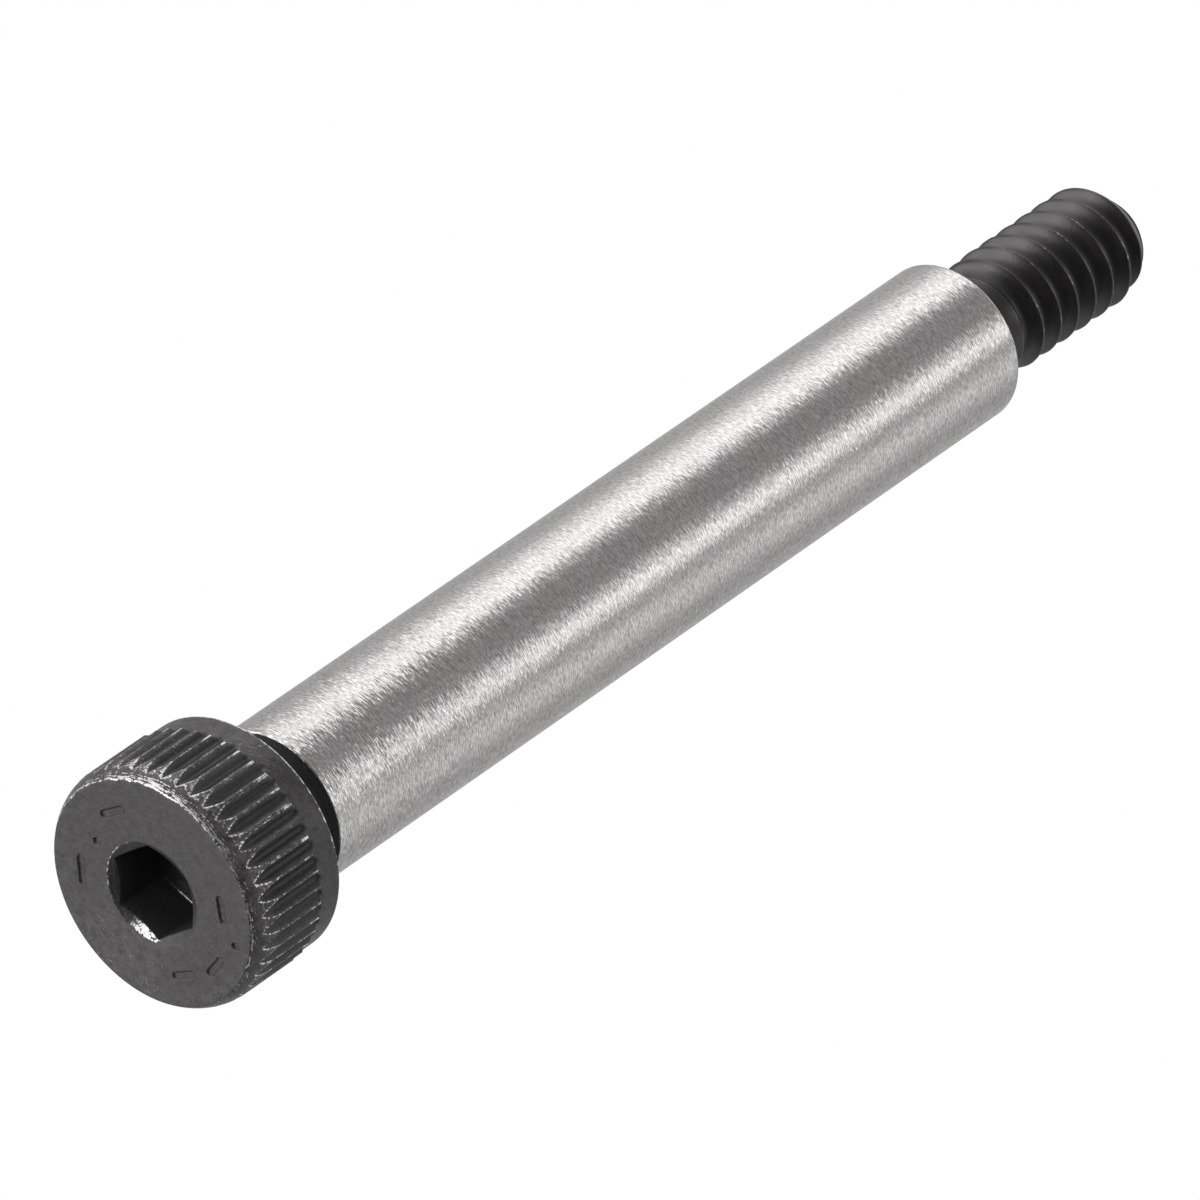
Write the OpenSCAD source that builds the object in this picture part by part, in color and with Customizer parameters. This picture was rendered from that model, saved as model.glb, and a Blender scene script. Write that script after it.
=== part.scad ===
// Shoulder bolt: a knurled socket head, a ground shoulder that a lever or pulley turns on,
// and a shorter, thinner thread that screws into the frame behind it.
// It stands on the flat face of its head: the face is at z = 0, and the bolt points up along +Z.

/* [Head] */
// From the flat face to the bearing face under the head
head_height = 4.775; // [4.2:0.005:6]
// Across the crests of the knurl
knurl_diameter = 9.42; // [9:0.01:10.4]
// Ridges round the head
knurl_ridges = 45; // [36:1:54]
// Depth of the grooves between the ridges
knurl_depth = 0.2; // [0.12:0.01:0.26]
// Share of each ridge's pitch that the groove takes at the crest
knurl_groove_share = 0.82; // [0.6:0.01:0.86]
// From the flat face to where the grooves begin
knurl_start = 0.5; // [0.4:0.05:0.8]
// Length over which a groove deepens to its full depth
knurl_ramp = 0.8; // [0.5:0.05:1.1]
// Plain band between the grooves and the bearing face
band_height = 1.2; // [0.8:0.05:1.6]
// How far the plain band lies below the knurl's crests
band_step = 0.11; // [0.05:0.01:0.16]
// Height of the rounded front corner of the head
crown_height = 0.9; // [0.6:0.05:1.2]
// How far the rounded corner draws in at the flat face
crown_draw = 0.31; // [0.2:0.01:0.45]
// Broken edge at the back of the plain band
rim_break = 0.1; // [0.05:0.01:0.2]

/* [Socket] */
// Across the flats of the hexagon socket
socket_width = 3.26; // [2.6:0.02:3.8]
// Depth of the flats below the flat face
socket_depth = 2.4; // [2:0.05:2.9]
// How far the countersink at the mouth clears the hexagon's corners
socket_mouth_margin = 0.13; // [0.08:0.01:0.2]
// Full angle of the countersink
socket_mouth_angle = 120; // [90:5:130]
// Depth of the shallow point at the bottom of the socket
socket_point = 0.35; // [0.2:0.05:0.5]

/* [Shoulder] */
// Ground diameter that the moving part turns on
shoulder_diameter = 6.27; // [5.9:0.01:6.6]
// From the bearing face to the end of the shoulder
shoulder_length = 41.275; // [12:0.005:80]
// Length of the undercut beside the head
undercut_length = 1.85; // [1:0.05:2.4]
// Depth of the undercut below the ground surface
undercut_depth = 0.25; // [0.15:0.01:0.35]
// Broken edges of the ground surface
shoulder_break = 0.06; // [0.04:0.01:0.25]

/* [Thread] */
// Across the crests of the thread
thread_diameter = 4.7; // [4.5:0.01:4.9]
// Across the roots of the thread
thread_root_diameter = 3.53; // [3.4:0.01:3.7]
// From one crest to the next
thread_pitch = 1.058; // [0.9:0.002:1.2]
// From the end of the shoulder to the tip
thread_length = 9.525; // [7:0.005:12]
// Plain neck between the shoulder and the first, growing turn
neck_length = 1.15; // [0.5:0.05:1.5]
// Length over which the first turn grows to its full height
runout_length = 1.5; // [0.8:0.05:1.8]
// Length of the tapered tip
tip_length = 1.1; // [0.7:0.05:1.4]
// Across the flat end of the tip
tip_diameter = 3.3; // [3:0.05:3.4]

/* [Hidden] */
$fn = 96;

// Heights along the bolt
shoulder_end = head_height + shoulder_length;
bolt_length = shoulder_end + thread_length;

// Head
crest_radius = knurl_diameter / 2;
band_radius = crest_radius - band_step;
groove_root_radius = crest_radius - knurl_depth;
crown_radius = (pow(crown_draw, 2) + pow(crown_height, 2)) / (2 * crown_draw);
knurl_end = head_height - band_height;
// The ridges start to step down to the band just before the grooves' round ends begin
ridge_end = knurl_end - 0.3 * band_step;
ridge_pitch = 2 * PI * crest_radius / knurl_ridges;
groove_width = knurl_groove_share * ridge_pitch;
groove_floor = 0.2 * groove_width;
groove_slope = (groove_width - groove_floor) / 2 / knurl_depth;
cutter_radius = crest_radius + 0.05;
cutter_height = cutter_radius - groove_root_radius;
cutter_width = groove_floor + 2 * groove_slope * cutter_height;
ramp_end = knurl_start + knurl_ramp;
ramp_angle = atan(knurl_depth / knurl_ramp);
ramp_reach = head_height;

// Socket
corner_radius = socket_width / 2 / cos(30);
mouth_radius = corner_radius + socket_mouth_margin;
mouth_slope = tan(socket_mouth_angle / 2);
mouth_depth = (mouth_radius - socket_width / 2) / mouth_slope;
// The point starts just inside the flats and leaves a thin flat rim round it
point_radius = 0.96 * socket_width / 2;
overcut = 1;

// Shoulder
shoulder_radius = shoulder_diameter / 2;
undercut_radius = shoulder_radius - undercut_depth;
undercut_end = head_height + undercut_length;

// Thread: its section is a row of 60-degree teeth with rounded crests, turned about the axis
// while it climbs by one pitch
thread_steps = 36;
crest_height = (thread_diameter - thread_root_diameter) / 2;
crest_round = 0.05 * thread_pitch;
flank_share = (crest_height - crest_round) * tan(30) / thread_pitch;
crest_share = 0.2;
root_share = 1 - crest_share - 2 * flank_share;
root_radius = thread_root_diameter / 2;
shoulder_of_crest = root_radius + crest_height - crest_round;
neck_radius = 0.99 * root_radius * cos(180 / thread_steps);
tip_radius = tip_diameter / 2;
clear_of_crests = thread_diameter / 2 + 0.1;
neck_overlap = 0.5;

// One pitch of the section: how far along the pitch, and at what radius
tooth = [
    [0, root_radius],
    [root_share, root_radius],
    [root_share + flank_share, shoulder_of_crest],
    [root_share + flank_share + crest_share / 2, thread_diameter / 2],
    [root_share + flank_share + crest_share, shoulder_of_crest]
];
tooth_points = len(tooth);
thread_turns = ceil((thread_length + neck_overlap) / thread_pitch) + 2;
column_points = thread_turns * tooth_points + 1;
thread_base = shoulder_end - neck_overlap - 1.6 * thread_pitch;

// A point of the thread's surface: the section's point number, at one step of the turn
function thread_point(step, number) =
    let (
        place = tooth[number % tooth_points],
        turns = floor(number / tooth_points) + place[0] + step / thread_steps,
        angle = 360 * step / thread_steps
    )
    [place[1] * cos(angle), place[1] * sin(angle), thread_base + thread_pitch * turns];

// A full turn ends one tooth further along the first column
function thread_index(step, number) =
    step < thread_steps
        ? step * column_points + number
        : number + tooth_points;

// The long outline that the head, the undercut and the shoulder are turned to
module turned_outline() {
    difference() {
        polygon([
            [0, 0],
            [crest_radius, 0],
            [crest_radius, ridge_end],
            [band_radius, ridge_end + band_step],
            [band_radius, head_height - rim_break],
            [band_radius - rim_break, head_height],
            [undercut_radius, head_height],
            [undercut_radius, undercut_end - undercut_depth],
            [shoulder_radius - shoulder_break / 2, undercut_end - shoulder_break / 2],
            [shoulder_radius, undercut_end],
            [shoulder_radius, shoulder_end - shoulder_break],
            [shoulder_radius - shoulder_break, shoulder_end],
            [0, shoulder_end]
        ]);
        crown_waste();
    }
}

// What the rounded front corner takes off the square corner of the head
module crown_waste() {
    difference() {
        translate([crest_radius - 2 * crown_draw, -overcut])
            square([2 * crown_draw + overcut, crown_height + overcut]);
        translate([crest_radius - crown_radius, crown_height])
            circle(r = crown_radius);
    }
}

// What cuts a groove: a V with a narrow floor, standing on its floor at x = 0
module groove_prism(length, height) {
    linear_extrude(height = length)
        polygon([
            [0, -groove_floor / 2],
            [height, -groove_floor / 2 - groove_slope * height],
            [height, groove_floor / 2 + groove_slope * height],
            [0, groove_floor / 2]
        ]);
}

// One groove of the knurl: it deepens along a ramp from its front tip and is round at its back end
module knurl_groove() {
    translate([groove_root_radius, 0, 0])
        intersection() {
            groove_prism(knurl_end, cutter_height);
            translate([0, 0, ramp_end])
                rotate([0, -ramp_angle, 0])
                    translate([0, 0, -ramp_reach])
                        groove_prism(2 * ramp_reach, ramp_reach);
        }
    translate([0, 0, knurl_end])
        rotate([0, 90, 0])
            rotate([0, 0, 90])
                rotate_extrude(angle = 180)
                    polygon([
                        [0, groove_root_radius],
                        [groove_floor / 2, groove_root_radius],
                        [cutter_width / 2, cutter_radius],
                        [0, cutter_radius]
                    ]);
}

// The hexagon, its countersunk mouth and the shallow point that the punch leaves
module socket() {
    translate([0, 0, -overcut])
        cylinder(r = corner_radius, h = socket_depth + overcut, $fn = 6);
    translate([0, 0, -overcut])
        cylinder(
            r1 = mouth_radius + overcut * mouth_slope,
            r2 = socket_width / 2,
            h = mouth_depth + overcut
        );
    translate([0, 0, socket_depth])
        cylinder(r1 = point_radius, r2 = 0, h = socket_point);
}

// The endless thread, longer than needed at both ends
module thread_comb() {
    points = [
        for (step = [0 : thread_steps - 1])
            for (number = [0 : column_points - 1])
                thread_point(step, number)
    ];
    last = column_points - 1;
    foot = len(points);
    head = foot + 1;
    centres = [
        [0, 0, thread_base + thread_pitch / 2],
        [0, 0, thread_base + thread_pitch * (thread_turns + 0.5)]
    ];
    // The last step has one pitch less to join, because the first column is a pitch lower there
    sides = [
        for (step = [0 : thread_steps - 1])
            for (number = [0 : last - 1 - (step == thread_steps - 1 ? tooth_points : 0)])
                let (
                    a = thread_index(step, number),
                    b = thread_index(step + 1, number),
                    c = thread_index(step + 1, number + 1),
                    d = thread_index(step, number + 1)
                )
                each [[a, d, c], [a, c, b]]
    ];
    bottom = concat(
        [for (step = [0 : thread_steps]) thread_index(step, 0)],
        [for (number = [tooth_points - 1 : -1 : 0]) thread_index(0, number)]
    );
    top = concat(
        [for (step = [0 : thread_steps - 1]) thread_index(step, last)],
        [for (number = [last - 1 : -1 : last - tooth_points]) thread_index(thread_steps - 1, number)],
        [thread_index(0, last)]
    );
    bottom_faces = [for (i = [0 : len(bottom) - 2]) [foot, bottom[i], bottom[i + 1]]];
    top_faces = [for (i = [0 : len(top) - 2]) [head, top[i + 1], top[i]]];
    polyhedron(points = concat(points, centres), faces = concat(sides, bottom_faces, top_faces));
}

// The blank that the thread is rolled on: neck, growing first turn and tapered tip
module thread_blank() {
    neck_end = shoulder_end + neck_length;
    rotate_extrude()
        polygon([
            [0, shoulder_end - neck_overlap],
            [neck_radius, shoulder_end - neck_overlap],
            [neck_radius, neck_end],
            [clear_of_crests, neck_end + runout_length],
            [clear_of_crests, bolt_length - tip_length],
            [tip_radius, bolt_length],
            [0, bolt_length]
        ]);
}

module threaded_end() {
    intersection() {
        thread_blank();
        thread_comb();
    }
}

module shoulder_bolt() {
    color([0.36, 0.36, 0.37])
        union() {
            difference() {
                rotate_extrude()
                    turned_outline();
                for (ridge = [0 : knurl_ridges - 1])
                    rotate([0, 0, 360 * ridge / knurl_ridges])
                        knurl_groove();
                socket();
            }
            threaded_end();
        }
}

shoulder_bolt();
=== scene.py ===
import math

import bpy
import numpy as np
from mathutils import Matrix, Vector
from mathutils.geometry import delaunay_2d_cdt


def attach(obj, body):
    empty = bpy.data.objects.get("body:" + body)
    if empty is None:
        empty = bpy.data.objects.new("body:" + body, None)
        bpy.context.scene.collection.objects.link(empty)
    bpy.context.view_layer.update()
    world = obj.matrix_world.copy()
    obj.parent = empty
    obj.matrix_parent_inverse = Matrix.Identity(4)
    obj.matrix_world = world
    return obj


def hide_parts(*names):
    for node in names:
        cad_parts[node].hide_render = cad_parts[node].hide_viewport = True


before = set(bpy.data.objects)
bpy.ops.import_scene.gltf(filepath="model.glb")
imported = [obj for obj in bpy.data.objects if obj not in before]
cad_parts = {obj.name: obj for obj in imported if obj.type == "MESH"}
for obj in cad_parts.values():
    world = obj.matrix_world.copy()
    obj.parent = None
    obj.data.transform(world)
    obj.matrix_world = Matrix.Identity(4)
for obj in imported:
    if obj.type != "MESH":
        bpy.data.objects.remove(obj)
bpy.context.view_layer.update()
scene = bpy.context.scene
mm = 0.001
print("frame loaded:", sorted(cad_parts))

# The bolt stands on its head: z is 0 at the head's flat face and grows towards the thread.
# Sizes are in millimetres and angles in degrees. An azimuth here starts at +X and turns to +Y.
# Points of a mesh carry wear (1 is bare steel), shade (painted shade, darkest at 1, in recesses
# and on shaded sides) and spots (how thickly the light specks lie).


def softMin(a, b, k):
    low = np.minimum(a, b)
    return low - k * np.log(np.exp(-(a - low) / k) + np.exp(-(b - low) / k))


def smoothStep(low, high, x):
    t = np.clip((x - low) / (high - low), 0, 1)
    return t * t * (3 - 2 * t)


def bell(x, width):
    return np.exp(-((x / width) ** 2))


# How near the angles are to an azimuth, both ways round
def near(angles, azimuth, width):
    away = np.angle(np.exp(1j * (angles - math.radians(azimuth))))
    return bell(away, math.radians(width))


# A value between -1 and 1 that wanders smoothly round the circle
def wander(angles, random, steps):
    values = random.uniform(-1, 1, steps)
    place = np.mod(angles, 2 * math.pi) / (2 * math.pi) * steps
    first = np.floor(place).astype(int) % steps
    share = smoothStep(0, 1, place - np.floor(place))
    return values[first] * (1 - share) + values[(first + 1) % steps] * share


# Several of them together, each with its size and its number of steps
def wanders(angles, random, sizes):
    return sum(size * wander(angles, random, steps) for size, steps in sizes)


# The points and faces of a piece are gathered here before they become a mesh
def newParts():
    return {"points": [], "wear": [], "shade": [], "spots": [], "faces": [], "flat": [], "shadedCopy": []}


def addPoints(parts, x, y, z, wear=0.0, shade=0.0, spots=0.0):
    first = len(parts["points"])
    parts["points"] += [(a * mm, b * mm, c * mm) for a, b, c in zip(x, y, z)]
    for label, values in (("wear", wear), ("shade", shade), ("spots", spots)):
        parts[label] += [float(value) for value in np.broadcast_to(values, np.shape(x))]
    return list(range(first, len(parts["points"])))


def addRing(parts, angles, radius, height, wear=0.0, shade=0.0, spots=0.0):
    radius = np.broadcast_to(radius, angles.shape)
    height = np.broadcast_to(height, angles.shape)
    x, y = radius * np.cos(angles), radius * np.sin(angles)
    return addPoints(parts, x, y, height, wear, shade, spots)


# shadedCopy 1 puts a face in the piece's second material, the shaded copy of the oxide (painted shade)
def addFace(parts, corners, flat=False, shadedCopy=0):
    parts["faces"].append(tuple(corners))
    parts["flat"].append(flat)
    parts["shadedCopy"].append(shadedCopy)


def joinRings(parts, rings, flat=False, shadedCopy=0):
    for a, b in zip(rings, rings[1:]):
        for i in range(len(a)):
            j = (i + 1) % len(a)
            addFace(parts, (a[i], a[j], b[j], b[i]), flat, shadedCopy)


def closeRing(parts, ring, height, shade=0.0, shadedCopy=0):
    centre = addPoints(parts, [0.0], [0.0], [height], 0.0, shade)[0]
    for i in range(len(ring)):
        addFace(parts, (ring[i], ring[(i + 1) % len(ring)], centre), shadedCopy=shadedCopy)


def makePiece(name, parts, materials):
    mesh = bpy.data.meshes.new(name)
    mesh.from_pydata(parts["points"], [], parts["faces"])
    mesh.update()
    mesh.polygons.foreach_set("use_smooth", [not f for f in parts["flat"]])
    for label in ("wear", "shade", "spots"):
        values = mesh.attributes.new(label, "FLOAT", "POINT")
        values.data.foreach_set("value", np.array(parts[label], np.float32))
    for material in materials:
        mesh.materials.append(material)
    mesh.polygons.foreach_set("material_index", parts["shadedCopy"])
    piece = bpy.data.objects.new(name, mesh)
    scene.collection.objects.link(piece)
    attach(piece, "root")
    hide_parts("shoulder_bolt")
    print("piece", name, "with", len(mesh.polygons), "faces")


# A point of a quarter round that leads from a flat face, at this height, to a wall at this radius
def quarterRound(radius, height, size, degrees):
    a = math.radians(degrees)
    return radius + size * (1 - math.sin(a)), height + size * (1 - math.cos(a))


edgeSoft = 0.02  # rounding where a broken edge begins and ends
seeds = {"ridges": 12, "rim": 5, "rear": 8, "crests": 21}  # of what differs from place to place

# Head: crown, knurl, plain band, bearing face and undercut
head = {
    "height": 4.775,
    "crestRadius": 4.706,  # of the knurl's ridges
    "bandRadius": 4.6,  # of the plain band behind the knurl
    "bandLength": 1.2,
    "bandLead": 0.03,  # how much sooner than the grooves' round ends the ridges step down
    "crownHeight": 0.9,  # rounded front corner
    "crownDraw": 0.31,
    "faceEdgeRound": 0.05,
    "faceEdgeMargin": 0.12,
    "rimBreak": 0.1,  # broken edge behind the band
    "ridges": 45,
    "grooveDepth": 0.2,
    "grooveShare": 0.82,  # of a ridge's pitch
    "grooveFloorShare": 0.2,  # of the groove
    "grooveTip": 0.4,  # from the flat face to the grooves' pointed front tips
    "grooveFull": 1.3,  # where they reach their full depth
    "grooveRamp": 1.45,  # over which they would deepen on a straight ridge
    "grooveRound": 0.02,  # between a groove's floor and its sides
    "ridgeRound": 0.012,
    "undercutRadius": 2.885,
    "undercutEnd": 6.625,
    "undercutRound": 0.18,
    "undercutMargin": 0.1,  # from that round to the first ring on the bearing face
    "wornSide": -120,  # azimuth of the edges that are rubbed brightest
}
# Columns of points across half a ridge's pitch, closest at the ridge's crest
ridgeColumns = [0, 0.05, 0.085, 0.14, 0.23, 0.32, 0.37, 0.4, 0.43, 0.46, 0.5]
# Rings of points from the face's edge to the broken edge: lowest, highest, and how many
headRings = [
    (head["faceEdgeRound"], 0.4, 18),
    (0.46, 1.5, 21),
    (1.65, 3.3, 6),
    (3.36, 3.835, 17),
    (4.1, 4.5, 2),
    (4.6, head["height"] - head["rimBreak"] - 0.012, 2),
]
# How the ridges differ from each other: shift sideways, depth, start and end of the grooves,
# and how far each ridge is rubbed and scraped
ridgeSpread = {
    "shift": (-0.016, 0.016),
    "depth": (-0.01, 0.01),
    "start": (-0.08, 0.1),
    "end": (-0.04, 0.03),
    "rubbed": (0, 1),
    "scraped": (0.2, 1),
}


def headColumns():
    pitch = ridgeColumns + [1 - x for x in ridgeColumns[-2:0:-1]]
    shares = np.array([k + x for k in range(head["ridges"]) for x in pitch])
    return shares / head["ridges"] * 2 * math.pi


# Side of the head without its grooves
def sideOutline(z):
    crest, draw, height = head["crestRadius"], head["crownDraw"], head["crownHeight"]
    crownRadius = (draw**2 + height**2) / (2 * draw)
    below = np.clip(height - z, 0, None)
    crown = crest - crownRadius + np.sqrt(crownRadius**2 - below**2)
    step = head["height"] - head["bandLength"] - head["bandLead"]
    return np.minimum(crown, crest - np.clip(z - step, 0, crest - head["bandRadius"]))


def makeUnevenness():
    random = np.random.default_rng(seeds["ridges"])
    return {label: random.uniform(*span, head["ridges"]) for label, span in ridgeSpread.items()}


# Floor and flanks of the grooves, as a radius at each angle
def grooveSurface(angles, z, uneven):
    pitch = 2 * math.pi * head["crestRadius"] / head["ridges"]
    place = angles / (2 * math.pi) * head["ridges"]
    number = np.round(place).astype(int) % head["ridges"]
    side = np.abs((place - np.round(place)) * pitch - uneven["shift"][number])
    width = head["grooveShare"] * pitch
    floorHalf = head["grooveFloorShare"] * width / 2
    slope = (width / 2 - floorHalf) / head["grooveDepth"]
    floorHalf = floorHalf * smoothStep(head["grooveTip"], head["grooveFull"], z)
    past = np.clip(z - head["height"] + head["bandLength"] - uneven["end"][number], 0, None)
    distance = np.hypot(side, past)
    rampEnd = head["grooveFull"] + uneven["start"][number]
    ramp = np.clip(rampEnd - z, 0, None) * head["grooveDepth"] / head["grooveRamp"]
    root = head["crestRadius"] - head["grooveDepth"] - uneven["depth"][number]
    rise = np.hypot(np.clip(distance - floorHalf, 0, None), head["grooveRound"]) - head["grooveRound"]
    return root + ramp + rise / slope


# Bright lines rubbed along the front edge of the head
frontRim = {
    "lines": [  # height, width, strength, and how far round
        (0.03, 0.036, 0.86, 115),
        (0.09, 0.028, 0.80, 50),
        (0.15, 0.024, 0.78, 42),
        (0.21, 0.022, 0.74, 34),
        (0.28, 0.026, 0.62, 26),
    ],
    "turn": 8,  # from the head's worn side
    "least": 0.4,  # share of a line's strength that it keeps on the far side, and at the face
    "sway": [(0.03, 80), (0.012, 320)],  # up and down: size and steps round the head
    "fade": [(0.14, 90), (0.16, 400)],  # in strength
}


def makeRim(angles):
    random = np.random.default_rng(seeds["rim"])
    least = frontRim["least"]
    lines = []
    for height, width, strength, reach in frontRim["lines"]:
        centre = height + wanders(angles, random, frontRim["sway"])
        bright = near(angles, head["wornSide"] + frontRim["turn"], reach)
        worn = strength * (least + (1 - least) * bright) + wanders(angles, random, frontRim["fade"])
        lines.append((centre, width, np.clip(worn, 0, 1)))
    return lines


def rimWear(lines, z):
    wear = 0
    for centre, width, worn in lines:
        wear = np.maximum(wear, bell(z - centre, width) * worn)
    return wear


# Wear and specks on the rest of the head
headWear = {
    "reach": 40,  # round the worn side
    "secondTurn": 65,  # from there to a weaker patch
    "secondReach": 45,
    "second": 0.3,
    "ridge": 0.23,  # tops of the ridges
    "ridgeScraped": 0.1,
    "ridgeWorn": -0.09,
    "ridgeTips": 0.2,
    "ridgeRear": 0.36,
    "lip": 0.14,  # edges of the grooves
    "lipRubbed": 0.1,
    "lipScraped": 0.3,
    "lipWorn": 0.25,
    "rear": 0.42,  # broken edge behind the band
    "rearWorn": 0.3,
    "rearFade": [(0.2, 60), (0.16, 300)],
    "rearBack": 0.4,  # share of it where that edge ends
    "edgeSpots": 0.5,
    "spots": 0.4,
    "spotsWorn": 0.6,
    "spotsLessDeep": 0.8,
    "spotsLessBand": 0.6,
    "speckledFace": (78, 75),  # azimuth and reach
}
# Where each zone of the head begins and is complete
headZones = {
    "ridgeFront": (0.3, 0.5),
    "tipsEnd": (0.5, 1.5),
    "rear": (3.0, 3.4),
    "rearEnd": (3.52, 3.64),
    "knurlEnd": (3.5, 3.65),
    "band": (3.5, 3.8),
    "rim": (4.57, 4.64),
    "deep": (0.0, 0.16),  # painted shade, by depth below the head's side
    "ridgeTop": (-0.02, 0.015),  # above the side, where a groove would leave it whole
    "lipWidth": 0.025,
}


def ridgeWear(z, above, worn, rubbed, scraped):
    zone, amount = headZones, headWear
    knurl = 1 - smoothStep(*zone["knurlEnd"], z)
    tips = 1 - smoothStep(*zone["tipsEnd"], z)
    rear = smoothStep(*zone["rear"], z) * (1 - smoothStep(*zone["rearEnd"], z)) * rubbed
    top = amount["ridge"] + amount["ridgeScraped"] * scraped + amount["ridgeWorn"] * worn
    top = top + amount["ridgeTips"] * tips * worn + amount["ridgeRear"] * rear
    lip = amount["lip"] + amount["lipRubbed"] * rubbed
    lip = lip + (amount["lipScraped"] * scraped + amount["lipWorn"] * worn) * tips
    wear = smoothStep(*zone["ridgeTop"], above) * top + bell(above, zone["lipWidth"]) * lip
    return wear * knurl * smoothStep(*zone["ridgeFront"], z)


# Hexagon socket with its countersunk mouth
socket = {
    "width": 3.26,
    "depth": 2.4,
    "point": 0.35,
    "pointRadius": 1.5,
    "cornerRound": 0.01,
    "floorRound": 0.08,
    "mouthMargin": 0.13,
    "mouthAngle": 120,
    "mouthEdge": 0.012,  # between the flats and the countersink
    "pointRings": (0.15, 0.55, 1.0),  # as shares of the point's radius
    "filletRings": [(0, 0.2), (30, 0.85), (60, 0.85), (90, 0.0)],  # degrees, and wear that paints the highlight where the fillet catches the light
    "wallRings": (1.8, 1.0),
    "coneStart": 0.002,  # its first ring, past the end of the flats
    "coneLead": 0.03,  # kept clear below that end and at the mouth
    "coneRings": (0.1, 0.3, 0.5, 0.7, 0.9),  # as shares of the way to the mouth
    "lastRings": (0.02, 0.004),  # short of the mouth
    "lipRings": [(0, 1), (0.016, 0.7), (0.06, 0)],  # beyond the mouth, and share of the lip's wear and painted highlight
    # patches, each with its azimuth and reach
    "rubbedMouth": (78, 22),
    "speckledMouth": (78, 60),
    # painted shade on the countersink's shaded side
    "shadedMouth": (160, 50),
    # painted highlight along the lip where light falls
    "litLip": (175, 70),
    "scuffedEdge": (290, 60),
    # painted highlight along the fillet where it catches the light
    "litFloorLine": (64, 36),
    # painted light on the socket floor's lighter side
    "lightFloor": (64, 45),
    # amounts, each outside its patch and how much more inside it
    # pointShade, filletShade and coneShade are painted shade in the socket
    "pointShade": (1.0, -0.9),
    "filletShade": (1.0, -0.8),
    "coneShade": (0.2, 0.8),
    "edgeWear": (0.2, 0.3),
    "mouthWear": (0.62, 0.25),  # at the cone's edges, and more half-way up
    "lipWearAndHighlight": (0.3, 0.5),  # wear beside the rubbed mouth, and a painted highlight where light falls on the lip
}


# One of those amounts, outside its patch and inside it
def patchy(label, patch):
    outside, more = socket[label]
    return outside + more * patch


def addSocketFloor(parts, angles, hexagon):
    depth, rings = socket["depth"], []
    # Painted shade on the point and the floor, less where light falls on the floor
    shade = patchy("pointShade", near(angles, *socket["lightFloor"]))
    for share in socket["pointRings"]:
        height = depth + socket["point"] * (1 - share)
        rings.append(addRing(parts, angles, share * socket["pointRadius"], height, 0.0, shade))
    edge = hexagon - socket["floorRound"] - socket["cornerRound"]
    return rings + [addRing(parts, angles, edge, depth, 0.0, shade)]


def addSocketFillet(parts, angles, hexagon):
    # Painted highlight on the fillet where light falls, and painted shade on the rest of it
    litLine, rings = near(angles, *socket["litFloorLine"]), []
    for degrees, wear in socket["filletRings"]:
        radius, height = quarterRound(hexagon, socket["depth"], -socket["floorRound"], degrees)
        rings.append(addRing(parts, angles, radius, height, wear * litLine, patchy("filletShade", litLine)))
    return rings


def addCountersink(parts, angles, hexagon, mouth, slope):
    inner, lead = hexagon + socket["mouthEdge"], socket["coneLead"]
    scuffed = patchy("edgeWear", near(angles, *socket["scuffedEdge"]))
    start = (mouth - hexagon) * slope + socket["coneStart"]
    rings = [addRing(parts, angles, inner, start, scuffed)]
    rubbed = near(angles, *socket["rubbedMouth"])
    # Painted shade in the countersink, darkest on its shaded side and none where it is rubbed bright
    shade = patchy("coneShade", near(angles, *socket["shadedMouth"])) * (1 - rubbed)
    for share in socket["coneRings"]:
        radius = inner + (mouth - hexagon - lead) * share
        wear = rubbed * patchy("mouthWear", math.sin(math.pi * share))
        rings.append(addRing(parts, angles, radius, (mouth - radius) * slope, wear, shade, rubbed))
    # Wear beside the rubbed mouth, and a painted highlight along the lip where light falls
    beside, facing = socket["lipWearAndHighlight"]
    wornAndLit = beside * rubbed + facing * near(angles, *socket["litLip"])
    for inset in socket["lastRings"]:
        rings.append(addRing(parts, angles, mouth - inset, inset * slope, wornAndLit))
    speckled, lip = near(angles, *socket["speckledMouth"]), []
    for spread, share in socket["lipRings"]:
        lip.append(addRing(parts, angles, mouth + spread, 0, share * wornAndLit, 0, speckled))
    return rings, lip


def makeSocket(parts, angles):
    flat, cornerRound = socket["width"] / 2, socket["cornerRound"]
    corner = flat / math.cos(math.radians(30))
    turn = np.mod(angles, math.radians(60)) - math.radians(30)
    corners = np.full(angles.shape, corner - cornerRound)
    hexagon = softMin(flat / np.cos(turn), corners, 0.8 * cornerRound)
    mouth = corner + socket["mouthMargin"]
    slope = 1 / math.tan(math.radians(socket["mouthAngle"] / 2))
    floor = addSocketFloor(parts, angles, hexagon)
    fillet = addSocketFillet(parts, angles, hexagon)
    walls = fillet[-1:]
    for height in (*socket["wallRings"], (mouth - hexagon) * slope + socket["coneLead"]):
        walls.append(addRing(parts, angles, hexagon, height))
    cone, lip = addCountersink(parts, angles, hexagon, mouth, slope)
    closeRing(parts, floor[0][::-1], socket["depth"] + socket["point"])
    joinRings(parts, floor + fillet[:1])
    joinRings(parts, fillet)
    # The socket's walls are in the shaded copy of the oxide: painted shade
    joinRings(parts, walls + cone[:1], shadedCopy=1)
    joinRings(parts, cone)
    joinRings(parts, [cone[-1], lip[0]], flat=True)
    joinRings(parts, lip)
    return lip[-1]


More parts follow.
